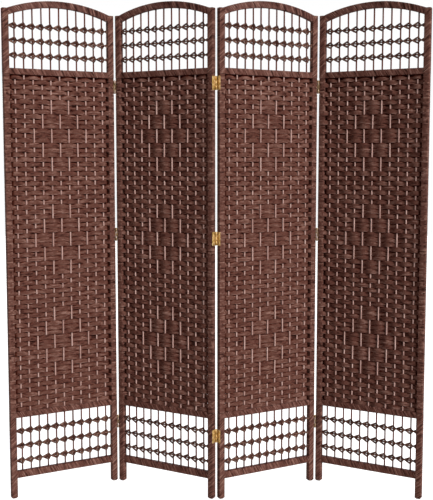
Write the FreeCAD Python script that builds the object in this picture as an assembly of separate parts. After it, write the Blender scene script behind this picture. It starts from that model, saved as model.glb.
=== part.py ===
import FreeCAD, Part
import math
import os

# Woven fibre folding screen: four hinged panels standing in a zigzag.
# Each panel has its own frame: x runs along the panel from its middle, y away from the viewer,
# z up from the floor. The whole screen stands with its middle seam at x = 0.

Vec = FreeCAD.Vector

# Panel and its fold
panel_count = 4
panel_width = 423.0
fold_half_angle = 30.2
hinge_gap = 9.6
pivot_stand_off = 0.5

# Stiles: wooden cores with a fibre binding round them
stile_height = 1790.0
stile_face = 18.0
stile_depth = 20.0
wrap_thickness = 1.0
wrap_chamfer = 3.0
wrap_floor_gap = 2.0

# Rails
foot_height = 77.0
bottom_rail_height = 24.0
lower_lattice_height = 202.0
rail_height = 20.7
upper_lattice_height = 211.0
rail_depth = 17.0
arch_rise = 35.0
arch_height = 22.0
tenon_length = 10.0
tenon_height = 10.0
tenon_depth = 9.0
tenon_clearance = 0.1

# Warp sticks
stick_count = 11
stick_thickness = 5.0
stick_sides = 6
stick_end_share = 0.725
stick_clearance = 0.1

# Weave: one mat before the sticks and one behind them, turning round both stiles
mat_thickness = 2.0

# Fitched rows of the lattices
row_count = 3
upper_row_spread = 3.95
upper_first_row = 0.86
lower_row_spread = 3.51
lower_first_row = 0.64
knot_height = 24.0
knot_swell = 3.6
pinch_height = 4.0
pinch_swell = 3.0
pinch_share = 0.38
row_clearance = 0.1

# Butt hinges
hinge_height = 50.0
leaf_width = 13.0
leaf_thickness = 1.2
leaf_clearance = 0.3
knuckle_count = 3
knuckle_sides = 8
knuckle_clearance = 0.2
pin_diameter = 3.0
pin_clearance = 0.05
top_hinge_drop = 32.0
middle_hinge_share = 0.522
low_hinge_drop = 67.0

# Heights and places that follow from the sizes above
half_width = panel_width / 2
half_depth = stile_depth / 2
clear_half = half_width - stile_face
bottom_rail_top = foot_height + bottom_rail_height
lower_rail_bottom = bottom_rail_top + lower_lattice_height
weave_bottom = lower_rail_bottom + rail_height
upper_rail_top = stile_height - upper_lattice_height
weave_top = upper_rail_top - rail_height
arch_radius = (clear_half**2 + arch_rise**2) / (2 * arch_rise)
arch_centre = stile_height + arch_rise - arch_radius
arch_inner_radius = arch_radius - arch_height
arch_foot = arch_centre + math.sqrt(arch_inner_radius**2 - clear_half**2)
stick_pitch = 2 * clear_half / (stick_count - 1 + 2 * stick_end_share)
stick_places = [(i - (stick_count - 1) / 2) * stick_pitch for i in range(stick_count)]
knuckle_radius = hinge_gap / 2 - leaf_thickness / 2
pivot_reach = half_depth + pivot_stand_off
hinge_middles = (
    lower_rail_bottom - low_hinge_drop,
    weave_bottom + middle_hinge_share * (weave_top - weave_bottom),
    weave_top - top_hinge_drop,
)

# Tenon middles: bottom rail, lower rail, upper rail, arch
tenon_middles = (
    foot_height + bottom_rail_height / 2,
    lower_rail_bottom + rail_height / 2,
    weave_top + rail_height / 2,
    (arch_foot + stile_height) / 2,
)


def box(x, y, z):
    """A block between two limits on each axis, given in any order."""
    low = Vec(min(x), min(y), min(z))
    return Part.makeBox(max(x) - low.x, max(y) - low.y, max(z) - low.z, low)


def prism(outline, bottom, top):
    """A flat outline in x and y, raised from one height to another."""
    corners = [Vec(x, y, bottom) for x, y in outline]
    face = Part.Face(Part.makePolygon(corners + corners[:1]))
    return face.extrude(Vec(0, 0, top - bottom))


def tenon(side, middle, clearance=0.0):
    """The tongue of a rail in its stile: side is -1 at the left and 1 at the right."""
    half_z = tenon_height / 2 + clearance
    half_y = tenon_depth / 2 + clearance
    reach = clear_half + tenon_length + clearance
    return box((side * clear_half, side * reach), (-half_y, half_y), (middle - half_z, middle + half_z))


def with_tenons(rail, middle):
    return rail.fuse([tenon(-1, middle), tenon(1, middle)]).removeSplitter()


def without_mortises(piece, side, middles):
    return piece.cut([tenon(side, middle, tenon_clearance) for middle in middles])


def stile_section(side, inset, bottom, top):
    """A length of stile with eased corners, set in all round from its bound surface."""
    inner, outer = side * (clear_half + inset), side * (half_width - inset)
    ease = wrap_chamfer - inset * (2 - math.sqrt(2))
    deep = half_depth - inset
    flat = deep - ease
    step = side * ease
    outline = [
        (inner, -flat), (inner + step, -deep), (outer - step, -deep), (outer, -flat),
        (outer, flat), (outer - step, deep), (inner + step, deep), (inner, flat),
    ]
    return prism(outline, bottom, top)


def stile(side):
    return without_mortises(stile_section(side, wrap_thickness, 0, stile_height), side, tenon_middles)


def wrap(side, bottom, top, middles):
    core = stile_section(side, wrap_thickness, bottom, top)
    return without_mortises(stile_section(side, 0, bottom, top).cut(core), side, middles)


def stile_wraps():
    sleeves = []
    for side in (-1, 1):
        sleeves.append(wrap(side, wrap_floor_gap, weave_bottom, tenon_middles[:2]))
        sleeves.append(wrap(side, weave_top, stile_height, tenon_middles[2:]))
    return Part.makeCompound(sleeves)


def rod(x, apothem, sides, bottom, top):
    """A rod of flat sides, two of them square to the panel."""
    radius = apothem / math.cos(math.pi / sides)
    turns = [2 * math.pi * (i + 0.5) / sides + math.pi / 2 for i in range(sides)]
    return prism([(x + radius * math.cos(t), radius * math.sin(t)) for t in turns], bottom, top)


def stick(place, bottom, top, clearance=0.0):
    return rod(place, stick_thickness / 2 + clearance, stick_sides, bottom, top)


def warp_sticks():
    """The rods stand on the bottom rail, their tops cut to the slope of the arch above them."""
    rods = []
    for place in stick_places:
        sides = (place - stick_thickness, place + stick_thickness)
        tops = [arch_centre + math.sqrt(arch_inner_radius**2 - x**2) for x in sides]
        corners = [Vec(x, -stick_thickness, bottom_rail_top) for x in sides]
        corners += [Vec(x, -stick_thickness, z) for x, z in zip(sides[::-1], tops[::-1])]
        reach = Part.Face(Part.makePolygon(corners + corners[:1])).extrude(Vec(0, 2 * stick_thickness, 0))
        rods.append(stick(place, bottom_rail_top, stile_height + arch_rise).common(reach))
    return Part.makeCompound(rods)


def straight_rail(bottom, height):
    half = rail_depth / 2
    rail = box((-clear_half, clear_half), (-half, half), (bottom, bottom + height))
    return with_tenons(rail, bottom + height / 2)


def drilled_rail(bottom):
    """A middle rail that the sticks pass through."""
    holes = [stick(place, bottom, bottom + rail_height, stick_clearance) for place in stick_places]
    return straight_rail(bottom, rail_height).cut(holes)


def arch_rail():
    half = rail_depth / 2

    def bend(radius, end, height):
        crown = Vec(0, -half, arch_centre + radius)
        return Part.Arc(Vec(-end, -half, height), crown, Vec(end, -half, height)).toShape()

    over = bend(arch_radius, clear_half, stile_height)
    under = bend(arch_inner_radius, clear_half, arch_foot)
    ends = [
        Part.makeLine(Vec(s * clear_half, -half, arch_foot), Vec(s * clear_half, -half, stile_height))
        for s in (-1, 1)
    ]
    outline = Part.Wire(Part.__sortEdges__([over, under] + ends))
    return with_tenons(Part.Face(outline).extrude(Vec(0, rail_depth, 0)), tenon_middles[3])


def weave():
    """Mats before and behind the sticks, joined round both stiles."""
    slot = stick_thickness / 2 + stick_clearance
    mats = box((-clear_half, clear_half), (-slot - mat_thickness, slot + mat_thickness), (weave_bottom, weave_top))
    turns = [stile_section(side, 0, weave_bottom, weave_top) for side in (-1, 1)]
    cores = [stile_section(side, wrap_thickness, weave_bottom, weave_top) for side in (-1, 1)]
    reach = clear_half + wrap_thickness
    space = box((-reach, reach), (-slot, slot), (weave_bottom, weave_top))
    return mats.fuse(turns).cut(cores + [space]).removeSplitter()


def faceted(faces):
    shell = Part.makeShell([Part.Face(Part.makePolygon(list(f) + [f[0]])) for f in faces])
    solid = Part.makeSolid(shell)
    return solid if solid.Volume > 0 else solid.reversed()


def fitched_row(middle):
    """A cord row that spreads over each stick and is drawn in to a pinch beside it."""
    stations = [(-clear_half, False)]
    for place in stick_places:
        stations += [(place, True), (place + pinch_share * stick_pitch, False)]
    stations.append((clear_half, False))
    back = -(stick_thickness / 2 + row_clearance)

    def section(x, at_stick):
        half = (knot_height if at_stick else pinch_height) / 2
        front = back - (knot_swell if at_stick else pinch_swell)
        return Vec(x, back, middle + half), Vec(x, back, middle - half), Vec(x, front, middle)

    rings = [section(x, at_stick) for x, at_stick in stations]
    faces = [rings[0], rings[-1]]
    for (top_a, low_a, ridge_a), (top_b, low_b, ridge_b) in zip(rings, rings[1:]):
        faces.append((top_a, top_b, low_b, low_a))
        faces += [(top_a, ridge_a, ridge_b), (top_a, ridge_b, top_b)]
        faces += [(low_a, ridge_b, ridge_a), (low_a, low_b, ridge_b)]
    return faceted(faces)


def fitching(floor, height, spread, first):
    pitch = height / spread
    return Part.makeCompound([fitched_row(floor + (first + i) * pitch) for i in range(row_count)])


def knuckle_span(index):
    """The lower and upper end of one barrel of the hinge, counted from the bottom."""
    step = hinge_height / knuckle_count
    trim = knuckle_clearance / 2
    low = index * step + (trim if index > 0 else 0)
    high = (index + 1) * step - (trim if index < knuckle_count - 1 else 0)
    return low - hinge_height / 2, high - hinge_height / 2


def hinge_leaf(side, valley, first):
    """A leaf with every second knuckle, about its own axis.

    side is -1 where the stile lies to the left of the axis, valley is 1 where it lies behind it,
    and first is the lowest knuckle that the leaf carries.
    """
    far = side * hinge_gap / 2
    near = side * (hinge_gap / 2 - leaf_thickness)
    corner = knuckle_radius / math.cos(math.pi / knuckle_sides)
    start = math.sqrt((corner + leaf_clearance) ** 2 - near**2)
    half = hinge_height / 2
    leaf = box((far, near), (valley * start, valley * (start + leaf_width)), (-half, half))
    rolls = []
    for index in range(first, knuckle_count, 2):
        low, high = knuckle_span(index)
        rolls.append(rod(0, knuckle_radius, knuckle_sides, low, high))
        rolls.append(box((far, near), (0, valley * start), (low, high)))
    bore = rod(0, pin_diameter / 2 + pin_clearance, knuckle_sides, -half, half)
    return leaf.fuse(rolls).cut(bore).removeSplitter()


def hinge_pin():
    return Part.makeCylinder(pin_diameter / 2, hinge_height, Vec(0, 0, -hinge_height / 2))


def at_hinges(shape, side, valley):
    """Copies of a hinge piece at the three heights of a panel's edge."""
    axis_x = side * (half_width + hinge_gap / 2)
    axis_y = -valley * pivot_reach
    copies = []
    for middle in hinge_middles:
        copy = shape.copy()
        copy.translate(Vec(axis_x, axis_y, middle))
        copies.append(copy)
    return Part.makeCompound(copies)


# Where the panels stand: odd ones lead away from the viewer, even ones towards the viewer
fold = math.radians(fold_half_angle)
panel_step = (panel_width + hinge_gap) * math.cos(fold) + 2 * pivot_reach * math.sin(fold)


def stand(shape, panel):
    turn = fold_half_angle if panel % 2 else -fold_half_angle
    middle = (panel - (panel_count + 1) / 2) * panel_step
    placed = shape.copy()
    placed.Placement = FreeCAD.Placement(Vec(middle, 0, 0), FreeCAD.Rotation(Vec(0, 0, 1), turn))
    return placed


nodes = {}
for panel in range(1, panel_count + 1):
    pieces = {
        "left_stile": stile(-1),
        "right_stile": stile(1),
        "stile_wraps": stile_wraps(),
        "arch_rail": arch_rail(),
        "upper_rail": drilled_rail(weave_top),
        "lower_rail": drilled_rail(lower_rail_bottom),
        "bottom_rail": straight_rail(foot_height, bottom_rail_height),
        "warp_sticks": warp_sticks(),
        "weave": weave(),
        "upper_fitching": fitching(upper_rail_top, upper_lattice_height, upper_row_spread, upper_first_row),
        "lower_fitching": fitching(bottom_rail_top, lower_lattice_height, lower_row_spread, lower_first_row),
    }
    for name, shape in pieces.items():
        nodes[f"{name}_{panel}"] = stand(shape, panel)

for seam in range(1, panel_count):
    valley = 1 if seam % 2 else -1
    left, right = seam, seam + 1
    seam_name = f"{left}{right}"
    nodes[f"hinge_leaf_{left}_right"] = stand(at_hinges(hinge_leaf(-1, valley, 0), 1, valley), left)
    nodes[f"hinge_leaf_{right}_left"] = stand(at_hinges(hinge_leaf(1, valley, 1), -1, valley), right)
    nodes[f"hinge_pins_{seam_name}"] = stand(at_hinges(hinge_pin(), 1, valley), left)

os.makedirs("parts", exist_ok=True)
for name, shape in nodes.items():
    shape.exportStep(f"parts/{name}.step")

pivot_y = (panel_width + hinge_gap) / 2 * math.sin(fold) - pivot_reach * math.cos(fold)
print(f"{len(nodes)} nodes, seam step {panel_step:.3f} mm, far seam y {pivot_y:.3f} mm")
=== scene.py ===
import bmesh
import bpy
import math
import numpy as np
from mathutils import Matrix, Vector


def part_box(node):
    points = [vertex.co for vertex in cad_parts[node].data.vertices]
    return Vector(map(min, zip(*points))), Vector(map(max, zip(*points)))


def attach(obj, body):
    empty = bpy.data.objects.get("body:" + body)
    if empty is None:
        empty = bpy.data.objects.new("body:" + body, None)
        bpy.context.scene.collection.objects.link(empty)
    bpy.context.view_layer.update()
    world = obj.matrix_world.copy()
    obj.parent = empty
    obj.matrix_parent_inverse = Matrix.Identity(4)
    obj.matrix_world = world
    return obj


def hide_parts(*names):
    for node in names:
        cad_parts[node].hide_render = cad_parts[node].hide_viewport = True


# Woven fibre folding screen. Pieces are worked out in a panel's own frame in millimetres,
# x along the panel from its middle, y away from the viewer, z up, then set in the screen in metres.

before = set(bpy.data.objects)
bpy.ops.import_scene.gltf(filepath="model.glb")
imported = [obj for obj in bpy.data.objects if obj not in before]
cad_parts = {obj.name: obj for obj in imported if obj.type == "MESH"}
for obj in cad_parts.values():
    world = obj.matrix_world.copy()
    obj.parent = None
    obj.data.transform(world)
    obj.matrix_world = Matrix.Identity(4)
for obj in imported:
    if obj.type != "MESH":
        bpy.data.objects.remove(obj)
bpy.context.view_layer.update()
mm = 0.001

screen = {
    "panels": 4,
    "stileFace": 18.0,
    "stileDepth": 20.0,
    "bindingThickness": 1.0,
    "sticks": 11,
    "stickEndShare": 0.725,    # gap beside a stile, in stick pitches
}


def nodeHeights(name):
    low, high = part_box(f"{name}_1")
    return low.z / mm, high.z / mm


def stileMiddles(panel):
    return [np.array(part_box(f"{side}_stile_{panel}")).mean(0) for side in ("left", "right")]


panels = range(1, screen["panels"] + 1)
leftMiddle, rightMiddle = stileMiddles(1)
stileSpan = np.linalg.norm(rightMiddle - leftMiddle) / mm
halfWidth = (stileSpan + screen["stileFace"]) / 2
clearHalf = (stileSpan - screen["stileFace"]) / 2
halfDepth = screen["stileDepth"] / 2
stickPitch = 2 * clearHalf / (screen["sticks"] - 1 + 2 * screen["stickEndShare"])
stickPlaces = (np.arange(screen["sticks"]) - (screen["sticks"] - 1) / 2) * stickPitch
weaveBottom, weaveTop = nodeHeights("weave")
stileTop = nodeHeights("left_stile")[1]
archTop = nodeHeights("arch_rail")[1]
archRise = archTop - stileTop
archRadius = (clearHalf**2 + archRise**2) / (2 * archRise)


def setInScreen(points, panel):
    # A panel's points turned along the line between its stile middles and moved to its middle
    left, right = stileMiddles(panel)
    along = (right - left) / np.linalg.norm(right - left)
    away = np.array((-along[1], along[0], 0.0))
    up = np.array((0.0, 0.0, 1.0))
    middle = (left + right) / 2 * (1, 1, 0)
    return middle + mm * (points[..., :1] * along + points[..., 1:2] * away + points[..., 2:] * up)


# Meshes from whole arrays

joinDistance = 1e-6


def tubeFaces(count, rows, around, columns):
    # Quads between neighbouring rings, and strips of quads across the first and last ring
    i, j = np.indices((rows - 1, around))
    k = (j + 1) % columns
    body = np.stack((i * columns + j, i * columns + k,
                     (i + 1) * columns + k, (i + 1) * columns + j), -1)
    h = np.arange(around // 2 - 1)
    lid = np.stack((h, around - 1 - h, around - 2 - h, h + 1), -1)
    one = np.concatenate((body.reshape(-1, 4), lid, lid[:, ::-1] + (rows - 1) * columns))
    return (one + (np.arange(count) * rows * columns)[:, None, None]).reshape(-1, 4)


def makePiece(name, rings, uv, material, body, replaced=(), shade=None):
    # Rings is count x rows x around points in metres, uv has one more column to close the seam,
    # and shade gives each point, from 0 to 1, its painted light: painted shade where it lies deep among its
    # neighbours, and painted reflection and shade on the hinges
    count, rows, around = rings.shape[:3]
    mesh = bpy.data.meshes.new(name)
    mesh.from_pydata(rings.reshape(-1, 3), [], tubeFaces(count, rows, around, around), shade_flat=False)
    corners = uv.reshape(-1, 2)[tubeFaces(count, rows, around, around + 1)]
    mesh.uv_layers.new(name="strand").data.foreach_set("uv", corners.astype(np.float32).ravel())
    if shade is not None:
        depth = mesh.attributes.new("depth", "FLOAT", "POINT")
        depth.data.foreach_set("value", shade.astype(np.float32).ravel())
    work = bmesh.new()
    work.from_mesh(mesh)
    bmesh.ops.remove_doubles(work, verts=work.verts, dist=joinDistance)
    bmesh.ops.recalc_face_normals(work, faces=work.faces)
    work.to_mesh(mesh)
    work.free()
    mesh.materials.append(material)
    piece = bpy.data.objects.new(name, mesh)
    bpy.context.scene.collection.objects.link(piece)
    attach(piece, body)
    if replaced:
        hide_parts(*replaced)
    return piece


def sweep(path, radius, around, flat=1.0):
    # A round profile carried along each path: the ring lies square to the path's own direction,
    # and where flat is below 1 it is pressed thinner from front to back
    forward = np.gradient(path, axis=-2)
    forward /= np.linalg.norm(forward, axis=-1, keepdims=True)
    side = np.cross(forward, (0.0, 1.0, 0.0))
    side /= np.linalg.norm(side, axis=-1, keepdims=True)
    rise = np.cross(side, forward)
    turn = 2 * np.pi * np.arange(around) / around
    ring = np.cos(turn)[:, None] * side[..., None, :] + np.sin(turn)[:, None] * rise[..., None, :]
    return path[..., None, :] + np.asarray(radius)[..., None, None] * ring * (1, flat, 1)


def sweepUv(path, around, shift):
    # Length along the path in metres, and one strand round the tube
    steps = np.linalg.norm(np.diff(path, axis=-2), axis=-1)
    length = np.concatenate((np.zeros_like(steps[..., :1]), np.cumsum(steps, -1)), -1) * mm
    across = shift[..., None, None] + np.arange(around + 1) / around
    return np.stack(np.broadcast_arrays(length[..., None], across), -1)


def smooth(x):
    x = np.clip(x, 0, 1)
    return x * x * (3 - 2 * x)


# Materials

def addNode(tree, kind, inputs=(), **settings):
    made = tree.nodes.new(kind)
    for name, value in settings.items():
        setattr(made, name, value)
    for name, value in dict(inputs).items():
        if isinstance(value, bpy.types.NodeSocket):
            tree.links.new(value, made.inputs[name])
        else:
            made.inputs[name].default_value = value
    return made


def addMath(tree, operation, *values):
    return addNode(tree, "ShaderNodeMath", dict(enumerate(values)), operation=operation).outputs[0]


def addVectorMath(tree, operation, *values):
    return addNode(tree, "ShaderNodeVectorMath", dict(enumerate(values)), operation=operation).outputs[0]


def addRange(tree, value, ends, span=(0.0, 1.0)):
    # A value's span carried over to the two ends
    names = ("Value", "From Min", "From Max", "To Min", "To Max")
    return addNode(tree, "ShaderNodeMapRange", zip(names, (value, *span, *ends))).outputs[0]


def addStretch(tree, place, scale):
    return addNode(tree, "ShaderNodeMapping", {"Vector": place, "Scale": scale}).outputs[0]


def addNoise(tree, place, scale, detail, roughness=0.5):
    inputs = {"Vector": addStretch(tree, place, scale), "Scale": 1.0,
              "Detail": detail, "Roughness": roughness}
    return addNode(tree, "ShaderNodeTexNoise", inputs).outputs["Fac"]


def addRamp(tree, value, stops):
    node = addNode(tree, "ShaderNodeValToRGB", {"Fac": value})
    elements = node.color_ramp.elements
    while len(elements) < len(stops):
        elements.new(0.5)
    for element, (place, colour) in zip(elements, stops):
        element.position = place
        element.color = colour
    return node.outputs["Color"]


def addBump(tree, height, strength, distance):
    inputs = {"Height": height, "Strength": strength, "Distance": distance}
    return addNode(tree, "ShaderNodeBump", inputs).outputs[0]


def addPaintedLight(tree):
    return addNode(tree, "ShaderNodeAttribute", attribute_name="depth").outputs["Fac"]


def newMaterial(name):
    material = bpy.data.materials.new(name)
    material.use_nodes = True
    tree = material.node_tree
    return material, tree, tree.nodes["Principled BSDF"].inputs


def setShader(tree, shader, colour, bump, rough):
    tree.links.new(colour, shader["Base Color"])
    tree.links.new(bump, shader["Normal"])
    tree.links.new(rough, shader["Roughness"])


def linear(red, green, blue):
    # A screen colour of 0 to 255 in linear light
    share = np.array((red, green, blue)) / 255
    low = share / 12.92
    high = ((share + 0.055) / 1.055) ** 2.4
    return (*np.where(share <= 0.04045, low, high), 1.0)


cord = {
    "strandStep": 5.37,        # how far the slow tone moves on from strand to strand
    "lotStep": 7.13,           # and from lot to lot
    "lotStretch": 3,           # how much longer a lot's tones are
    "fibres": (140, 9, 1),     # fine fibres to a metre and to a strand
    "fibreSpan": (0.25, 0.75),
    "fibreLight": (0.72, 1.28),
    "lay": (420, 1.1, 1),      # ridges of the twist, to a metre and to a strand
    "layScale": 0.5,
    "layUneven": 1.5,
    "furrowSpan": (0.25, 0.5),         # where the painted shade of the furrow sets in, from the middle of a strand to its edge
    "bump": (0.35, 0.0006),    # strength, and height in metres
    "roughSpread": 0.1,
    "gloss": 0.05,
}


def cordMaterial(name, look):
    # Twisted paper cord on the strand map: u in metres, v counts strands.
    # Each strand and each lot of strands has its own slow tone, fine fibres run along the strand,
    # and painted shade darkens the furrow between strands and what lies deep among its neighbours.
    material, tree, shader = newMaterial(name)
    place = addNode(tree, "ShaderNodeTexCoord").outputs["UV"]
    parts = addNode(tree, "ShaderNodeSeparateXYZ", {0: place}).outputs
    whole = addMath(tree, "FLOOR", parts["Y"])
    lot = addMath(tree, "FLOOR", addMath(tree, "DIVIDE", parts["Y"], look["lot"]))
    strand = addNode(tree, "ShaderNodeCombineXYZ", {"X": parts["X"], "Y": whole, "Z": lot}).outputs[0]
    tones = look["tonesPerMetre"]
    tone = addNoise(tree, strand, (tones, cord["strandStep"], 0), detail=3.0)
    lotTone = addNoise(tree, strand, (tones / cord["lotStretch"], 0, cord["lotStep"]), detail=2.0)
    mixed = addNode(tree, "ShaderNodeMix", {"Factor": look["lotShare"], "A": tone, "B": lotTone})
    base = addRamp(tree, mixed.outputs["Result"], look["tones"])
    fibre = addNoise(tree, place, cord["fibres"], detail=4.0)
    twist = addNode(tree, "ShaderNodeTexWave", {"Vector": addStretch(tree, place, cord["lay"]),
                                                "Scale": cord["layScale"], "Distortion": cord["layUneven"]},
                    bands_direction="DIAGONAL").outputs["Fac"]
    within = addMath(tree, "FRACT", parts["Y"])
    edge = addMath(tree, "ABSOLUTE", addMath(tree, "SUBTRACT", within, 0.5))
    furrow = addRange(tree, edge, (1.0, look["furrow"]), cord["furrowSpan"])
    light = addRange(tree, fibre, cord["fibreLight"], cord["fibreSpan"])
    shade = addMath(tree, "MULTIPLY", light, furrow)
    # Painted shade from the point attribute
    if "hollow" in look:
        shade = addMath(tree, "MULTIPLY", shade, addRange(tree, addPaintedLight(tree), (1.0, look["hollow"])))
    # The darker, the redder, in painted shade as in the fibres' darker tones
    shades = [addMath(tree, "POWER", shade, power) for power in look["powers"]]
    shades = addNode(tree, "ShaderNodeCombineXYZ", enumerate(shades)).outputs[0]
    colour = addVectorMath(tree, "MULTIPLY", base, shades)
    bump = addBump(tree, addMath(tree, "ADD", twist, fibre), *cord["bump"])
    rough, spread = look["roughness"], cord["roughSpread"]
    setShader(tree, shader, colour, bump, addRange(tree, fibre, (rough - spread, rough + spread)))
    shader["Specular IOR Level"].default_value = cord["gloss"]
    return material


weftLook = {
    "tonesPerMetre": 34.0,
    "lot": 4,                  # strands with a tone in common
    "lotShare": 0.35,
    "tones": ((0.36, linear(64, 37, 31)), (0.46, linear(108, 70, 61)), (0.52, linear(111, 77, 67)),
              (0.58, linear(132, 97, 87)), (0.66, linear(153, 119, 108))),
    "furrow": 0.55,
    "hollow": 0.12,            # how much of the colour is left where the painted shade is deepest
    "powers": (1.0, 2.0, 2.5),         # how strongly red, green and blue sink in a shade
    "roughness": 0.7,
}

stileLook = {
    "tonesPerMetre": 24.0,
    "lot": 2,
    "lotShare": 0.25,
    "tones": ((0.38, linear(66, 40, 34)), (0.46, linear(106, 71, 62)), (0.53, linear(120, 84, 75)),
              (0.61, linear(152, 118, 106))),
    "furrow": 0.4,
    "powers": weftLook["powers"],
    "roughness": 0.68,
}

railLook = {
    "tonesPerMetre": 24.0,
    "lot": 2,
    "lotShare": 0.3,
    "tones": ((0.38, linear(61, 36, 30)), (0.46, linear(104, 69, 60)), (0.53, linear(122, 85, 76)),
              (0.62, linear(154, 118, 107))),
    "furrow": 0.4,
    "hollow": 0.4,             # colour left under the painted shade on the bottom rail's top face
    "powers": weftLook["powers"],
    "roughness": 0.68,
}

archLook = {
    **railLook,
    "tones": ((0.38, linear(60, 36, 31)), (0.46, linear(101, 68, 61)), (0.53, linear(119, 84, 76)),
              (0.62, linear(158, 123, 112))),
}

fitchLook = {
    "tonesPerMetre": 120.0,
    "lot": 4,
    "lotShare": 0.2,
    "tones": ((0.38, linear(51, 28, 22)), (0.5, linear(97, 63, 54)), (0.62, linear(153, 117, 102))),
    "furrow": 0.75,
    "hollow": 0.2,             # colour left under the painted shade on the side of a cord that faces along the row
    "powers": (1.0, 1.15, 1.25),
    "roughness": 0.7,
}

wood = {
    "bareSpan": (-0.004, 0.012),       # where the bare wood's darker colour sets in beyond the weave, in metres
    "bump": (0.25, 0.0004),
    "roughSpread": 0.12,
    "gloss": 0.05,
}


def grainMaterial(name, look):
    # Wood with its grain drawn out along the height, streaks on the object's own coordinates
    material, tree, shader = newMaterial(name)
    place = addNode(tree, "ShaderNodeTexCoord").outputs["Object"]
    streak = addNoise(tree, place, look["grain"], detail=5.0, roughness=0.6)
    colour = addRamp(tree, streak, look["tones"])
    if "bareDarkening" in look:
        # Darker where the wood is bare, below and above the woven part
        height = addNode(tree, "ShaderNodeSeparateXYZ", {0: place}).outputs["Z"]
        middle, reach = (weaveBottom + weaveTop) / 2 * mm, (weaveTop - weaveBottom) / 2 * mm
        away = addMath(tree, "ABSOLUTE", addMath(tree, "SUBTRACT", height, middle))
        bare = addRange(tree, away, (0.0, 1.0), [reach + beyond for beyond in wood["bareSpan"]])
        bareColour = addStretch(tree, colour, look["bareDarkening"])
        change = addVectorMath(tree, "SUBTRACT", bareColour, colour)
        colour = addVectorMath(tree, "MULTIPLY_ADD", change, bare, colour)
    bump = addBump(tree, streak, *wood["bump"])
    rough, spread = look["roughness"], wood["roughSpread"]
    setShader(tree, shader, colour, bump, addRange(tree, streak, (rough - spread, rough + spread)))
    shader["Specular IOR Level"].default_value = wood["gloss"]
    return material


stickLook = {
    "grain": (500, 500, 14),
    "tones": ((0.3, linear(152, 112, 103)), (0.5, linear(192, 154, 144)), (0.7, linear(220, 190, 180))),
    "bareDarkening": (0.25, 0.11, 0.09),   # how much of the red, green and blue is left
    "roughness": 0.55,
}

coreLook = {
    "grain": (260, 260, 6),
    "tones": ((0.3, linear(58, 36, 28)), (0.5, linear(84, 54, 44)), (0.7, linear(104, 70, 58))),
    "roughness": 0.6,
}

brassLook = {
    "cloud": (120, 120, 120),
    "tones": ((0.36, linear(158, 122, 66)), (0.5, linear(204, 165, 98)), (0.66, linear(240, 208, 154))),
    "reflectLine": 0.3,               # painted value given to the middle line of a knuckle's outer half, where a greyer painted reflection lies
    # painted reflection along a knuckle's middle line, painted shade towards its sides
    "reflectAndShade": ((0.0, (1, 1, 1, 1)), (0.3, (0.82, 0.9, 1.8, 1)), (1.0, (0.1, 0.09, 0.12, 1))),
    "brushed": (3000, 3000, 90),
    "bump": (0.1, 0.0002),
    "roughness": (0.6, 0.4),
    "metallic": 0.4,
    "sheen": linear(240, 214, 160),
}


def brassMaterial(name, look):
    # Plain stamped brass: cloudy tarnish and a fine brushed grain, with a greyer painted reflection along
    # the middle of a knuckle's outer half and painted shade from there towards the stiles
    material, tree, shader = newMaterial(name)
    place = addNode(tree, "ShaderNodeTexCoord").outputs["Object"]
    cloud = addNoise(tree, place, look["cloud"], detail=4.0)
    base = addRamp(tree, cloud, look["tones"])
    colour = addVectorMath(tree, "MULTIPLY", base, addRamp(tree, addPaintedLight(tree), look["reflectAndShade"]))
    bump = addBump(tree, addNoise(tree, place, look["brushed"], detail=2.0), *look["bump"])
    setShader(tree, shader, colour, bump, addRange(tree, cloud, look["roughness"]))
    shader["Metallic"].default_value = look["metallic"]
    shader["Specular Tint"].default_value = look["sheen"]
    return material


weftFibre = cordMaterial("weftFibre", weftLook)
stileFibre = cordMaterial("stileFibre", stileLook)
railFibre = cordMaterial("railFibre", railLook)
archFibre = cordMaterial("archFibre", archLook)
fitchFibre = cordMaterial("fitchFibre", fitchLook)
stickWood = grainMaterial("stickWood", stickLook)
coreWood = grainMaterial("coreWood", coreLook)
hingeBrass = brassMaterial("hingeBrass", brassLook)
print("materials made")


# Hinges: on each stile edge a leaf with its share of the knuckles and two slotted screws

hinge = {
    "height": 50.0,
    "leafWidth": 18.4,
    "leafThickness": 2.3,
    "leafStart": 2.5,          # from the axis to the near edge of the leaf
    "leafCorner": 1.6,
    "gap": 9.6,                # between the stiles that it joins
    "standOff": 0.5,           # axis before the face of the stile
    "knuckles": 3,
    "knuckleRadius": 3.6,
    "knuckleGap": 0.2,         # from one knuckle to the next
    "webLap": 1.0,             # how far the web behind a knuckle runs over its leaf
    "webCorner": 0.35,
    "play": 0.2,               # between a knuckle and the fibre that is pressed in beside it
    "playAbove": 2.0,          # how far above and below the hinge the fibre is pressed in
    "bevel": 0.3,
    "screwSpread": 15.0,       # from the middle of the leaf, up and down
    "screwRadius": 2.9,
    "screwShares": (1, 1, 0.8, 0.45, 0.03),        # of that radius, from the leaf to the top of the head
    "screwRise": (-0.4, 0.15, 0.45, 0.55, 0.6),
    "slotTurn": 0.9,           # radians
    "slotHalf": 0.63,
    "slotFloor": 0.05,
    "slotFrom": 0.3,           # what rises above this is cut by the slot
    "lowDrop": 67.0,           # middle of the lowest hinge, below the lower rail
    "middleShare": 0.522,      # middle of the next, as a share of the weave's height
    "topDrop": 32.0,           # middle of the highest, below the top of the weave
    "around": 24,
    "seams": ((1, 1), (2, -1), (3, 1)),    # left panel, and 1 with the knuckles in front or -1 at the back
}

hingeMiddles = np.array((nodeHeights("lower_rail")[0] - hinge["lowDrop"],
                         weaveBottom + hinge["middleShare"] * (weaveTop - weaveBottom),
                         weaveTop - hinge["topDrop"]))


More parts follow.
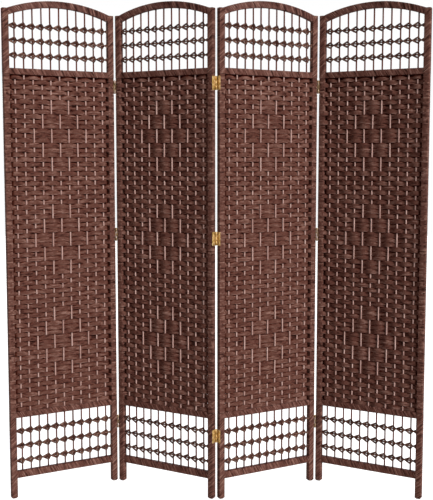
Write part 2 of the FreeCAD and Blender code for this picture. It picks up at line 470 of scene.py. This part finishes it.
def plateRings(x, y, z, corner):
    # A rounded rectangle in y and z carried along x, drawn in by the bevel at its first and last ring
    angle = (np.arange(hinge["around"]) + 0.5) * 2 * np.pi / hinge["around"]
    turn = np.stack((np.cos(angle), np.sin(angle)), -1)
    bevel = hinge["bevel"]
    inset = np.array((bevel, 0, 0, 0, bevel))[:, None, None]
    half = np.array((abs(y[1] - y[0]), z[1] - z[0])) / 2
    flat = np.sign(turn) * (half - corner) + turn * (corner - inset) + (sum(y) / 2, sum(z) / 2)
    low, high = min(x), max(x)
    along = np.array((low, low + bevel, sum(x) / 2, high - bevel, high))[:, None, None]
    return np.concatenate((np.broadcast_to(along, flat[..., :1].shape), flat), -1)


def barrelRings(low, high):
    # A circle carried up the hinge axis, drawn in by the bevel at both ends
    angle = np.arange(hinge["around"]) * 2 * np.pi / hinge["around"]
    bevel = hinge["bevel"]
    radius = (hinge["knuckleRadius"] - np.array((bevel, 0, 0, 0, bevel)))[:, None]
    z = np.array((low, low + bevel, (low + high) / 2, high - bevel, high))[:, None]
    return np.stack(np.broadcast_arrays(radius * np.cos(angle), radius * np.sin(angle), z), -1)


def screwRings(face, out, y, z):
    # A low domed head on the leaf's face, sunk where it is nearer to the slot's line
    # than half the slot's width
    angle = np.arange(hinge["around"]) * 2 * np.pi / hinge["around"]
    radius = hinge["screwRadius"] * np.array(hinge["screwShares"])[:, None]
    rise = np.array(hinge["screwRise"])[:, None]
    across = radius * np.sin(angle + hinge["slotTurn"])
    inSlot = (np.abs(across) < hinge["slotHalf"]) & (rise > hinge["slotFrom"])
    x = face + out * np.where(inSlot, hinge["slotFloor"], rise)
    return np.stack(np.broadcast_arrays(x, y + radius * np.cos(angle), z + radius * np.sin(angle)), -1)


def leafRings(side, valley, first):
    # A leaf about its own axis: side is -1 on the left panel of a seam, valley 1 with the knuckles in front
    half, third = hinge["height"] / 2, hinge["height"] / hinge["knuckles"]
    near, far = side * (hinge["gap"] / 2 - hinge["leafThickness"]), side * hinge["gap"] / 2
    start, end = valley * hinge["leafStart"], valley * (hinge["leafStart"] + hinge["leafWidth"])
    shapes = [plateRings((near, far), (start, end), (-half, half), hinge["leafCorner"])]
    web = (0, start + valley * hinge["webLap"])
    for number in range(first, hinge["knuckles"], 2):
        low = -half + number * third + hinge["knuckleGap"] / 2
        high = -half + (number + 1) * third - hinge["knuckleGap"] / 2
        shapes.append(barrelRings(low, high))
        shapes.append(plateRings((near, far), web, (low, high), hinge["webCorner"]))
    for z in (-hinge["screwSpread"], hinge["screwSpread"]):
        shapes.append(screwRings(near, -side, (start + end) / 2, z))
    return np.stack(shapes)


def hingeAxis(side, valley):
    return np.array((-side * (halfWidth + hinge["gap"] / 2), -valley * (halfDepth + hinge["standOff"])))


def hingeRings(side, valley, first):
    # Painted light on the outer half of a knuckle: a greyer painted reflection along its middle line, and
    # painted shade the further a point lies towards a stile
    axis = np.append(hingeAxis(side, valley), 0)
    middles = hingeMiddles[:, None] * (0, 0, 1)
    rings = leafRings(side, valley, first)
    outside = rings[..., 1] * valley < hinge["bevel"]
    aside = np.clip(np.abs(rings[..., 0]) / hinge["knuckleRadius"], 0, 1)
    paintedKnuckle = np.where(outside, brassLook["reflectLine"] + (1 - brassLook["reflectLine"]) * aside, 0)
    rings = rings + axis + middles[:, None, None, None]
    return rings.reshape(-1, *rings.shape[2:]), np.tile(paintedKnuckle, (len(middles), 1, 1))


def clearKnuckles(points, panel, play=hinge["play"]):
    # Beside a hinge, points nearer to its axis than its knuckles are pressed straight away from the axis
    room = hinge["knuckleRadius"] + play
    level = np.abs(points[..., 2:] - hingeMiddles).min(-1, keepdims=True)
    for left, valley in hinge["seams"]:
        if panel in (left, left + 1):
            axis = hingeAxis(-1 if panel == left else 1, valley)
            away = points[..., :2] - axis
            reach = np.linalg.norm(away, axis=-1, keepdims=True)
            inside = (reach < room) & (level < hinge["height"] / 2 + hinge["playAbove"])
            flat = np.where(inside, axis + away / reach * room, points[..., :2])
            points = np.concatenate((flat, points[..., 2:]), -1)
    return points


for left, valley in hinge["seams"]:
    for panel, side, hand in ((left, -1, "right"), (left + 1, 1, "left")):
        rings, paintedKnuckle = hingeRings(side, valley, int(side > 0))
        uv = np.zeros((*rings.shape[:2], rings.shape[2] + 1, 2))
        makePiece(f"hingeLeaf.{panel}.{hand}", setInScreen(rings, panel), uv, hingeBrass,
                  f"panel_{panel}", [f"hinge_leaf_{panel}_{hand}"], paintedKnuckle)
print("hinges made")


# Weave: flat bundles of cords, before and behind the sticks by turns, each turning round both stiles

weave = {
    "courses": 71,
    "cords": 4,                # cords side by side in a bundle
    "fill": 1.05,              # share of the course height that a bundle takes before a stick
    "backFill": 1.34,          # the same behind a stick, where it lies under its neighbours
    "thickness": 3.0,
    "stileThickness": 1.3,
    "flatFrom": 5.0,           # from there to the stile a bundle starts to flatten
    "flatOver": 7.0,           # and over this length it does
    "swing": 4.4,              # how far a bundle's middle lies before or behind the sticks
    "tuck": 2.4,               # how far its upper edge leans back behind a stick
    "stileProud": 1.2,         # how far a course stands out beside the stile's outer side
    "stileLap": 2.0,           # how far it stays flat beyond the stile's inner side
    "lead": 9.0,               # from the outer stick to where it leaves for the stile
    "endShort": 2.0,           # how far short of the stile's back it ends after the front
    "endCorner": (1.5, 1.2),   # the corner cut off, in width and depth, where it comes from the back
    "cornerCuts": 2,
    "swell": (0.8, 1.15),      # thickness of single cords, as a share
    "ripple": 0.12,            # and its slow change along the cord
    "rippleWave": 0.05,        # radians to a millimetre
    "wander": 0.35,            # slow drift of a course up and down
    "driftWaves": (0.031, 0.067, 0.113),
    "railSink": 3.0,           # how far the first and last course reach into their rails
    "furrow": 0.5,             # bundle thickness between two cords, as a share of that at a cord
    "shadeWedge": 5.0,              # height of the painted shade over a bundle behind a stick, where the course above casts its shadow
    "wedgeFrom": 0.8,          # where it starts before the sticks, as a share of the swing
    "railShade": 4.5,          # added height of the painted shade under the upper rail, for its shadow
    "shadeEdge": 2.5,          # height over which the painted shade fades
    "sideFrom": 6.0,           # beyond the outer stick, where a course gets painted shade as it goes behind a stile
    "sideOver": 8.0,
    "sideBack": 0.4,
    "sideShade": 0.8,
    "diamondStarts": (6, 28, 50),
    "diamondReach": (1, 2, 3, 2, 1),
    "bandCourses": 3,
    "runsPerPitch": 5,
    "seed": 11,
}


def weaveSides():
    # 1 where a course runs behind a stick or stile, -1 where it runs before it.
    # Plain over and under, turned round in the middle course of each band of a diamond.
    course = np.arange(1, weave["courses"] + 1)[:, None]
    column = np.arange(screen["sticks"] + 2)[None]
    behind = (course + column) % 2 == 1
    middle = (screen["sticks"] + 1) // 2
    for start in weave["diamondStarts"]:
        for band, reach in enumerate(weave["diamondReach"]):
            turned = start + weave["bandCourses"] * band + 1
            behind[turned - 1, middle - reach:middle + reach + 1] ^= True
    return np.where(behind, 1.0, -1.0)


def cutCorners(points, times):
    # Corner cutting: each run gives the points a quarter and three quarters along it, the ends stay
    for _ in range(times):
        quarter = points[..., :-1, :] * 0.75 + points[..., 1:, :] * 0.25
        three = points[..., :-1, :] * 0.25 + points[..., 1:, :] * 0.75
        inner = np.stack((quarter, three), -2).reshape(*points.shape[:-2], -1, 2)
        points = np.concatenate((points[..., :1, :], inner[..., 1:-1, :], points[..., -1:, :]), -2)
    return points


def courseRoutes(sides):
    # Each course in plan: round the left stile, a cosine wave from stick to stick, round the right stile
    swing = weave["swing"]
    share = np.arange(weave["runsPerPitch"]) / weave["runsPerPitch"]
    ease = (1 - np.cos(np.pi * share)) / 2
    inner = sides[:, 1:-1]
    wave = inner[:, :-1, None] + (inner[:, 1:] - inner[:, :-1])[..., None] * ease
    wave = np.concatenate((wave.reshape(len(sides), -1), inner[:, -1:]), 1) * swing
    across = np.linspace(stickPlaces[0], stickPlaces[-1], wave.shape[1])
    middle = np.stack(np.broadcast_arrays(across, wave), -1)

    seat = halfDepth - screen["bindingThickness"] + weave["stileThickness"] / 2
    outer = halfWidth + weave["stileProud"]
    edge = clearHalf - weave["stileLap"]
    first = -stickPlaces[0]
    lead = first + weave["lead"]
    cutWidth, cutDepth = weave["endCorner"]
    before = np.array(((outer, seat - weave["endShort"]), (outer, -seat), (edge, -seat),
                       (lead, swing), (first, swing)))
    behind = np.array(((outer, seat - cutDepth), (outer - cutWidth, seat), (edge, seat),
                       (lead, -swing), (first, -swing)))
    turn = cutCorners(np.where(sides[:, :1, None] > 0, behind, before), weave["cornerCuts"])
    left = turn * (-1, 1)
    right = turn[:, ::-1]
    return np.concatenate((left[:, :-1], middle, right[:, 1:]), 1)


def weaveRings():
    rng = np.random.default_rng(weave["seed"])
    sides = weaveSides()
    route = courseRoutes(sides)
    courses, stations = route.shape[:2]
    pitch = (weaveTop - weaveBottom) / courses
    level = weaveTop - (np.arange(courses) + 0.5) * pitch
    aside = np.abs(route[..., 0])
    swung = route[..., 1] / weave["swing"]

    # A bundle is flattened on a stile, and spreads under its neighbours behind a stick
    onStile = smooth((aside - clearHalf + weave["flatFrom"]) / weave["flatOver"])
    thick = (1 - onStile) * weave["thickness"] + onStile * weave["stileThickness"]
    back = smooth(swung) * (1 - onStile)
    half = pitch / 2 * (weave["fill"] + (weave["backFill"] - weave["fill"]) * back)

    length = np.cumsum(np.linalg.norm(np.diff(route, axis=1, prepend=route[:, :1]), axis=-1), 1)
    waves = weave["driftWaves"]
    phase = rng.uniform(0, 2 * np.pi, (len(waves), courses, 1))
    drift = sum(np.sin(length * k + p) for k, p in zip(waves, phase)) / len(waves)
    middle = level[:, None] + weave["wander"] * drift * (1 - onStile)

    # Section of a bundle: across runs from its upper edge to its lower edge and back,
    # out swells at each cord, and lean falls from 1 at the upper edge to -1 at the lower
    cords = weave["cords"]
    count = np.arange(2 * cords + 1) / 2
    out = np.where(count % 1 == 0.5, 1.0, weave["furrow"])
    out[[0, -1]] = 0
    across = np.concatenate((count, count[-2:0:-1]))
    lean = 1 - 2 * across / cords
    out = np.concatenate((-out, out[-2:0:-1])) / 2
    swell = rng.uniform(*weave["swell"], (courses, 1, len(out)))
    ripple = length[..., None] * weave["rippleWave"] + rng.uniform(0, 2 * np.pi, (courses, 1, len(out)))
    swell = swell + weave["ripple"] * np.sin(ripple)

    forward = np.gradient(route, axis=1)
    forward /= np.linalg.norm(forward, axis=-1, keepdims=True)
    square = np.stack((-forward[..., 1], forward[..., 0]), -1)
    flat = route[:, :, None] + square[:, :, None] * (out * swell * thick[..., None])[..., None]
    flat[..., 1] += weave["tuck"] * back[..., None] * smooth(lean)
    height = np.clip(middle[..., None] + lean * half[..., None], weaveBottom, weaveTop)
    height[0, :, 0] += weave["railSink"]
    height[-1, :, cords * 2] -= weave["railSink"]
    rings = np.concatenate((flat, height[..., None]), -1)

    # Painted shade on the front, standing in for shadow: under the next course up where that runs before a
    # stick, under the upper rail, and where a course goes behind a stile
    drop = level[:, None, None] + pitch / 2 - height
    sunk = smooth((swung + weave["wedgeFrom"]) / (1 + weave["wedgeFrom"])) * (1 - onStile)
    hollow = weave["shadeWedge"] * sunk[..., None]
    hollow[0] += weave["railShade"]
    under = smooth(0.5 + (hollow - drop) / weave["shadeEdge"])
    shadeBeside = smooth((aside - stickPlaces[-1] - weave["sideFrom"]) / weave["sideOver"])
    shadeBeside *= smooth(weave["sideBack"] + swung) * np.where(sides[:, :1] > 0, weave["sideShade"], 0.0)
    depth = np.maximum(under, shadeBeside[..., None]) * (1 - onStile[..., None])

    # Strand map: the back of a bundle gets strands of its own
    strand = np.concatenate((count, count[-2::-1] + courses * cords * 2 + 1))
    strands = np.broadcast_to(strand, (courses, stations, len(strand)))
    strands = np.arange(courses)[:, None, None] * cords + strands
    uv = np.stack((np.broadcast_to(length[..., None] * mm, strands.shape), strands), -1)
    return rings, uv, depth


rings, uv, depth = weaveRings()
for panel in panels:
    placed = setInScreen(clearKnuckles(rings, panel), panel)
    makePiece(f"weave.{panel}", placed, uv, weftFibre, f"panel_{panel}",
              [f"weave_{panel}"], depth)
print("weave made,", rings.shape[0], "courses,", rings.shape[1], "stations")


# Sticks: round rods, slightly uneven, from the bottom rail to the arch

sticks = {
    "radius": 2.8,
    "around": 12,
    "rings": 40,
    "waver": 0.35,             # how far a stick strays from a straight line
    "waves": (0.006, 0.017, 0.009),    # of its broad and fine sway and its tilt, radians to a millimetre
    "swell": 0.04,             # change of its radius, as a share
    "swellWave": 0.023,
    "topSink": 6.0,            # how far it reaches into the arch
    "seed": 3,
}


def stickRings():
    rng = np.random.default_rng(sticks["seed"])
    low, high = nodeHeights("warp_sticks")
    reach = high - (archRadius - np.sqrt(archRadius**2 - stickPlaces**2)) + sticks["topSink"]
    z = low + (reach - low)[:, None] * np.linspace(0, 1, sticks["rings"])
    phase = rng.uniform(0, 2 * np.pi, (4, screen["sticks"], 1))
    broad, fine, across = (np.sin(z * wave + p) for wave, p in zip(sticks["waves"], phase))
    sway = sticks["waver"] * (broad + 0.5 * fine)
    tilt = 0.5 * sticks["waver"] * across
    path = np.stack((stickPlaces[:, None] + sway, tilt, z), -1)
    thick = sticks["radius"] * (1 + sticks["swell"] * np.sin(z * sticks["swellWave"] + phase[3]))
    uv = sweepUv(path, sticks["around"], np.arange(screen["sticks"]) * 1.0)
    return sweep(path, thick, sticks["around"]), uv


rings, uv = stickRings()
for panel in panels:
    makePiece(f"sticks.{panel}", setInScreen(rings, panel), uv, stickWood, f"panel_{panel}",
              [f"warp_sticks_{panel}"])
print("sticks made")


# Fitched rows: two strands of cords, one before and one behind each stick, crossing where they are drawn in

fitching = {
    "radius": (3.5, 2.5, 3.5),         # of a strand's three cords
    "fan": 9.9,                        # half height of a knot at its stick, to the outer cord's middle
    "frontFan": (-1.0, 0.1, 1.0),      # places of a strand's cords across the knot, before the stick
    "backFan": (-0.12, 0.0, 0.18),     # and behind it
    "pinchShare": 0.37,                # from a stick to the next crossing, in stick pitches
    "closeShare": 0.3,                 # from a stick to where the cords before it are drawn in again
    "closeCurve": 1.8,                 # above 1 they close on a hollow curve
    "backCurve": 1.7,                  # the same for the cords behind a stick
    "lateCurve": 3,                    # above 1 these open late
    "pinchFront": 2.6,                 # how far the crossing lies before the sticks
    "frontSeat": 5.4,                  # how far the cords lie before a stick's middle
    "backSeat": 4.4,                   # and behind it
    "flat": 0.6,                       # thickness of a cord from front to back, as a share of its width
    "stout": {"upper": 1.0, "lower": 1.1},         # thicker cords in the lower rows
    "neck": 0.6,                       # radius of the drawn in bundle, to the cords' middles
    "neckThin": 0.7,                   # thickness of a cord there, as a share of that before a stick
    "backThin": 0.58,                  # and behind a stick
    "backDrop": {"upper": -2.0, "lower": 2.6},     # how far the cords behind a stick hang lower
    "leeShade": 2.0,                        # how soon a cord gets painted shade as it turns to face along the row
    "twist": 3,                        # strands round a cord
    "rows": 3,
    "around": 6,
    "leadRuns": (-0.5, -0.34, -0.2, -0.08),        # stations before the first stick, in stick pitches
    "runs": (0.0, 0.035, 0.075, 0.12, 0.18, 0.27, 0.37, 0.5, 0.66, 0.8, 0.92),     # from each stick on
    "tailRuns": (0.5, 0.55),           # where they stop after the last stick, and one more
}


def fitchCords(drop):
    # Before a stick the cords fan from the crossing in straight lines to the stick, and close in soon
    # after it. Behind a stick they stay together up to it, open late and close on a hollow curve.
    pinch, ends, last = fitching["pinchShare"], screen["stickEndShare"], screen["sticks"] - 1
    d = (np.arange(screen["sticks"])[:, None] + np.array(fitching["runs"])).ravel()
    stop, tail = fitching["tailRuns"]
    lead = (-ends, pinch - 1, *fitching["leadRuns"])
    d = np.concatenate((lead, d[d < last + stop], (last + tail, last + ends)))
    stick = np.floor(d + 1 - pinch)
    off = d - stick
    opening = np.clip(1 + off / (1 - pinch), 0, 1)
    hollow = np.clip(1 - off / pinch, 0, 1) ** fitching["backCurve"]
    quick = np.clip(1 - off / fitching["closeShare"], 0, 1) ** fitching["closeCurve"]

    before = (stick + np.arange(2)[:, None]) % 2 == 0
    opened = np.where(before, opening, opening ** fitching["lateCurve"])
    fan = np.where(off <= 0, opened, np.where(before, quick, hollow))[:, None]
    seat = np.where(before, -fitching["frontSeat"], fitching["backSeat"])
    lean = smooth(np.where(off <= 0, opening, hollow))
    y = -fitching["pinchFront"] + (seat + fitching["pinchFront"]) * lean

    frontFan = np.array(fitching["frontFan"])[:, None]
    backFan = np.array(fitching["backFan"])[:, None]
    level = np.where(before[:, None], frontFan, backFan)
    z = level * (fan * fitching["fan"] + (1 - fan) * fitching["neck"])
    z = z - np.where(before, 0, drop * lean)[:, None]
    y = y[:, None] + fitching["neck"] * (1 - np.abs(level)) * (1 - fan) * np.array((-1, 1))[:, None, None]
    x = stickPlaces[0] + d * stickPitch
    full = np.where(before, 1.0, fitching["backThin"])[:, None]
    swell = fitching["neckThin"] + (full - fitching["neckThin"]) * np.sqrt(fan)
    thick = np.array(fitching["radius"])[:, None] * swell
    return np.stack(np.broadcast_arrays(x, y, z), -1).reshape(-1, len(x), 3), thick.reshape(-1, len(x))


def fitchRings(lattice):
    low, high = nodeHeights(f"{lattice}_fitching")
    outside = fitching["fan"] + max(fitching["radius"])
    levels = np.linspace(low + outside, high - outside, fitching["rows"])
    cords, thick = fitchCords(fitching["backDrop"][lattice])
    path = cords + np.stack((0 * levels, 0 * levels, levels), -1)[:, None, None]
    path = path.reshape(-1, *cords.shape[1:])
    around, twist = fitching["around"], fitching["twist"]
    uv = sweepUv(path, around, np.arange(len(path)) * 1.0) * (1, twist)
    thick = np.tile(thick * fitching["stout"][lattice], (fitching["rows"], 1))
    rings = sweep(path, thick, around, fitching["flat"])
    # Painted shade on the side of each cord that faces along the row, in the lee of its knot
    facing = (rings - path[:, :, None])[..., 0] / thick[..., None]
    return rings, uv, smooth(fitching["leeShade"] * facing)


for lattice in ("upper", "lower"):
    rings, uv, depth = fitchRings(lattice)
    for panel in panels:
        makePiece(f"{lattice}Fitching.{panel}", setInScreen(rings, panel), uv, fitchFibre,
                  f"panel_{panel}", [f"{lattice}_fitching_{panel}"], depth)
print("fitching made")


# Bound stiles, rails and arch: cord wound in slanting turns round a bar with rounded corners

binding = {
    "cordWidth": 3.8,          # along the bar
    "outward": 1.9,            # how far a stile's binding stands out towards the seam
    "inward": 2.2,             # and towards the sticks
    "stileCorner": 0.9,
    "railCorner": 1.2,
    "railDepth": 17.0,
    "railReach": {             # below and above the rail
        "upper": (0.0, 1.3),
        "lower": (0.8, 0.0),
        "bottom": (2.4, -0.4),
    },
    "railSink": 0.5,           # how far a rail's binding reaches into the stiles
    "topShadeBand": 0.9,            # the bottom rail gets painted shade above this depth
    "archHeight": 23.6,
    "archProud": 1.4,          # how far the arch's binding stands out above it
    "archSink": 1.5,
    "relief": 0.35,
    "bandCords": 2,            # cords wound together
    "bandRelief": 1.7,         # the deeper furrow after each lot, as a share of the others
    "uneven": 0.12,
    "stileSlant": 9.0,         # rise from the middle of the face to its edge
    "railSlant": -6.5,
    "endEase": 1.4,
    "proud": 0.25,             # how far the cords stand out from the bar's outline
    "underWeft": -0.1,         # the same where the weave's courses lie over them
    "strandsApart": 200,       # on the strand map, from one seed to the next
    "stileSeed": 5,
    "railSeed": 15,
    "archSeed": 25,
}


def roundedSection(width, depth, corner):
    # Four quarter arcs of three points, with two points on each flat between them
    angle = np.radians((0, 45, 90) + 90 * np.arange(4)[:, None])
    centre = np.array(((1, 1), (-1, 1), (-1, -1), (1, -1))) * (width / 2 - corner, depth / 2 - corner)
    normal = np.stack((np.cos(angle), np.sin(angle)), -1)
    arc = centre[:, None] + corner * normal
    after, afterNormal = np.roll(arc[:, 0], -1, 0), np.roll(normal[:, 0], -1, 0)
    share = np.array((1 / 3, 2 / 3))[:, None]
    flat = arc[:, 2:] + (after[:, None] - arc[:, 2:]) * share
    points = np.concatenate((arc, flat), 1).reshape(-1, 2)
    normals = np.concatenate((normal, np.broadcast_to(afterNormal[:, None], flat.shape)), 1).reshape(-1, 2)
    return points, normals


def woundRings(length, width, depth, corner, slant, seed,
               cordWidth=binding["cordWidth"], proud=binding["proud"]):
    # Rings tilted along the bar by their place across the face, swelling at each cord,
    # with both ends eased in
    rng = np.random.default_rng(seed)
    section, normal = roundedSection(width, depth, corner)
    cords = int(math.ceil((length + 2 * abs(slant)) / cordWidth))
    step = np.arange(2 * cords + 1)
    run = step * cordWidth / 2 - abs(slant)
    relief = np.where(step % 2 == 0, -1.0, 0.0)
    relief = np.where(step % (2 * binding["bandCords"]) == 0, -binding["bandRelief"], relief)
    uneven = rng.uniform(-binding["uneven"], binding["uneven"], cords + 1)
    relief = relief * binding["relief"] + np.repeat(uneven, 2)[:len(step)] + proud
    ease = binding["endEase"]
    s = np.clip(run[:, None] + slant * section[:, 0] / (width / 2), ease, length - ease)
    rings = np.concatenate((s[..., None], section + normal * relief[:, None, None]), -1)
    eased = (section - normal * ease)[None]
    lowEnd = np.concatenate((np.zeros_like(s[:1])[..., None], eased), -1)
    highEnd = np.concatenate((np.full_like(s[:1], length)[..., None], eased), -1)
    rings = np.concatenate((lowEnd, rings, highEnd))
    gaps = np.linalg.norm(np.diff(np.concatenate((section, section[:1])), axis=0), axis=1)
    around = np.concatenate(((0,), np.cumsum(gaps))) * mm
    strand = np.concatenate((run[:1], run, run[-1:])) / cordWidth + seed * binding["strandsApart"]
    uv = np.stack(np.broadcast_arrays(around, strand[:, None]), -1)
    return rings[None], uv[None]


def alongStile(rings, side, bottom):
    middle = stileSpan / 2 + (binding["outward"] - binding["inward"]) / 2
    return np.stack((side * middle + rings[..., 1], rings[..., 2], bottom + rings[..., 0]), -1)


def alongRail(rings, middle):
    start = -clearHalf - binding["railSink"]
    return np.stack((rings[..., 0] + start, rings[..., 2], middle + rings[..., 1]), -1)


floorGap = nodeHeights("stile_wraps")[0]
boundFace = screen["stileFace"] + binding["outward"] + binding["inward"]
courseCord = (weaveTop - weaveBottom) / weave["courses"] / weave["cords"]
slanted = (binding["stileSlant"], binding["cordWidth"], binding["proud"])
stileRuns = {                  # bottom, top, slant, cord width, how proud of the stile's outline
    "foot": (floorGap, weaveBottom, *slanted),
    "weave": (weaveBottom, weaveTop, 0.0, courseCord, binding["underWeft"]),
    "head": (weaveTop, stileTop + binding["proud"], *slanted),
}


def bindStiles(panel):
    for number, (run, (bottom, top, slant, cordWidth, proud)) in enumerate(stileRuns.items()):
        play = hinge["play"] + (weave["stileThickness"] if run == "weave" else 0)
        for side, hand in ((-1, "Left"), (1, "Right")):
            rings, uv = woundRings(top - bottom, boundFace, screen["stileDepth"], binding["stileCorner"],
                                   slant, binding["stileSeed"] + number * 2 + (side > 0), cordWidth, proud)
            placed = setInScreen(clearKnuckles(alongStile(rings, side, bottom), panel, play), panel)
            made = makePiece(f"{run}Binding{hand}.{panel}", placed, uv, stileFibre,
                             f"panel_{panel}")
            if run == "foot":
                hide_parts(f"stile_wraps_{panel}")


def bindRails(panel):
    for number, (name, (below, above)) in enumerate(binding["railReach"].items()):
        low, high = nodeHeights(f"{name}_rail") + np.array((-below, above))
        rings, uv = woundRings(2 * (clearHalf + binding["railSink"]), high - low, binding["railDepth"],
                               binding["railCorner"], binding["railSlant"], binding["railSeed"] + number)
        placed = setInScreen(alongRail(rings, (low + high) / 2), panel)
        # Painted shade on the bottom rail's top face and upper corner
        paintedTopShade = rings[..., 1] > (high - low) / 2 - binding["topShadeBand"] if name == "bottom" else None
        makePiece(f"{name}RailBinding.{panel}", placed, uv, railFibre, f"panel_{panel}",
                  [f"{name}_rail_{panel}"], paintedTopShade)


for panel in panels:
    bindStiles(panel)
    bindRails(panel)
print("bindings made")


def archRings():
    # The same winding carried along the arc between the arch's outer and inner radius
    height = binding["archHeight"]
    radius = archRadius + binding["archProud"] - height / 2
    half = math.asin((clearHalf + binding["archSink"]) / radius) * radius
    rings, uv = woundRings(2 * half, height, binding["railDepth"], binding["railCorner"],
                           binding["railSlant"], binding["archSeed"])
    angle = (rings[..., 0] - half) / radius
    reach = radius + rings[..., 1]
    z = archTop - archRadius + reach * np.cos(angle)
    return np.stack((reach * np.sin(angle), rings[..., 2], z), -1), uv


rings, uv = archRings()
for panel in panels:
    makePiece(f"archBinding.{panel}", setInScreen(rings, panel), uv, archFibre,
              f"panel_{panel}", [f"arch_rail_{panel}"])
print("arches made")


for name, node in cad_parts.items():
    node.data.materials.clear()
    node.data.materials.append(hingeBrass if "hinge" in name else coreWood)


# Studio: white floor and backdrop to the camera, a key lamp from the right, broad lamps from the front
# and from behind, and an even fill

white = (1, 1, 1, 1)
studio = {
    "fill": 0.12,
    "lamps": {                 # strength, and degrees: breadth, to the right of the viewer, up
        "key": (1.89, 17.0, 44.0, 24.0),
        "front": (1.06, 40.0, 20.0, 22.0),
        "back": (2.5, 40.0, 175.0, 30.0),
    },
    "floorHalf": 12.0,
    "floorGrey": (0.5, 0.5, 0.5, 1),
    "floorLift": 0.92,
}


def seenRay(tree):
    path = addNode(tree, "ShaderNodeLightPath").outputs
    first = addMath(tree, "MAXIMUM", path["Is Camera Ray"], path["Is Glossy Ray"])
    return addMath(tree, "MAXIMUM", first, path["Is Transmission Ray"])


def makeWorld():
    world = bpy.data.worlds.new("studio")
    bpy.context.scene.world = world
    world.use_nodes = True
    tree = world.node_tree
    tree.nodes.clear()
    fill = addNode(tree, "ShaderNodeBackground", {"Color": white, "Strength": studio["fill"]})
    seen = addNode(tree, "ShaderNodeBackground", {"Color": white, "Strength": 1.0})
    mix = addNode(tree, "ShaderNodeMixShader", {0: seenRay(tree), 1: fill.outputs[0], 2: seen.outputs[0]})
    addNode(tree, "ShaderNodeOutputWorld", {"Surface": mix.outputs[0]})


def makeFloor():
    half = studio["floorHalf"]
    corners = [(-half, -half, 0), (half, -half, 0), (half, half, 0), (-half, half, 0)]
    mesh = bpy.data.meshes.new("floor")
    mesh.from_pydata(corners, [], [(0, 1, 2, 3)])
    material = bpy.data.materials.new("floorPaper")
    material.use_nodes = True
    tree = material.node_tree
    tree.nodes.clear()
    paper = addNode(tree, "ShaderNodeBsdfDiffuse", {"Color": studio["floorGrey"]})
    lift = addMath(tree, "MULTIPLY", seenRay(tree), studio["floorLift"])
    glow = addNode(tree, "ShaderNodeEmission", {"Color": white, "Strength": lift})
    both = addNode(tree, "ShaderNodeAddShader", {0: paper.outputs[0], 1: glow.outputs[0]})
    addNode(tree, "ShaderNodeOutputMaterial", {"Surface": both.outputs[0]})
    mesh.materials.append(material)
    floor = bpy.data.objects.new("floor", mesh)
    bpy.context.scene.collection.objects.link(floor)


def makeLamp(name, strength, breadth, azimuth, elevation):
    data = bpy.data.lights.new(name, "SUN")
    data.energy = strength
    data.angle = math.radians(breadth)
    lamp = bpy.data.objects.new(name, data)
    bpy.context.scene.collection.objects.link(lamp)
    lamp.rotation_euler = (math.radians(90 - elevation), 0, math.radians(azimuth))


camera = {
    "focalPixels": 963.2,
    "framePixels": 500,
    "sensor": 36.0,
    "place": (0.0134, -3.5830, 1.2610),
    "pitchDown": 5.48,
    "yaw": 0.204,
}


def makeCamera():
    data = bpy.data.cameras.new("camera")
    data.sensor_width = camera["sensor"]
    data.lens = camera["focalPixels"] * camera["sensor"] / camera["framePixels"]
    eye = bpy.data.objects.new("camera", data)
    bpy.context.scene.collection.objects.link(eye)
    eye.location = camera["place"]
    eye.rotation_euler = (math.radians(90 - camera["pitchDown"]), 0, math.radians(camera["yaw"]))
    bpy.context.scene.camera = eye


makeWorld()
makeFloor()
for name, values in studio["lamps"].items():
    makeLamp(name, *values)
makeCamera()
bpy.context.scene.view_settings.view_transform = "Standard"
print("studio made")
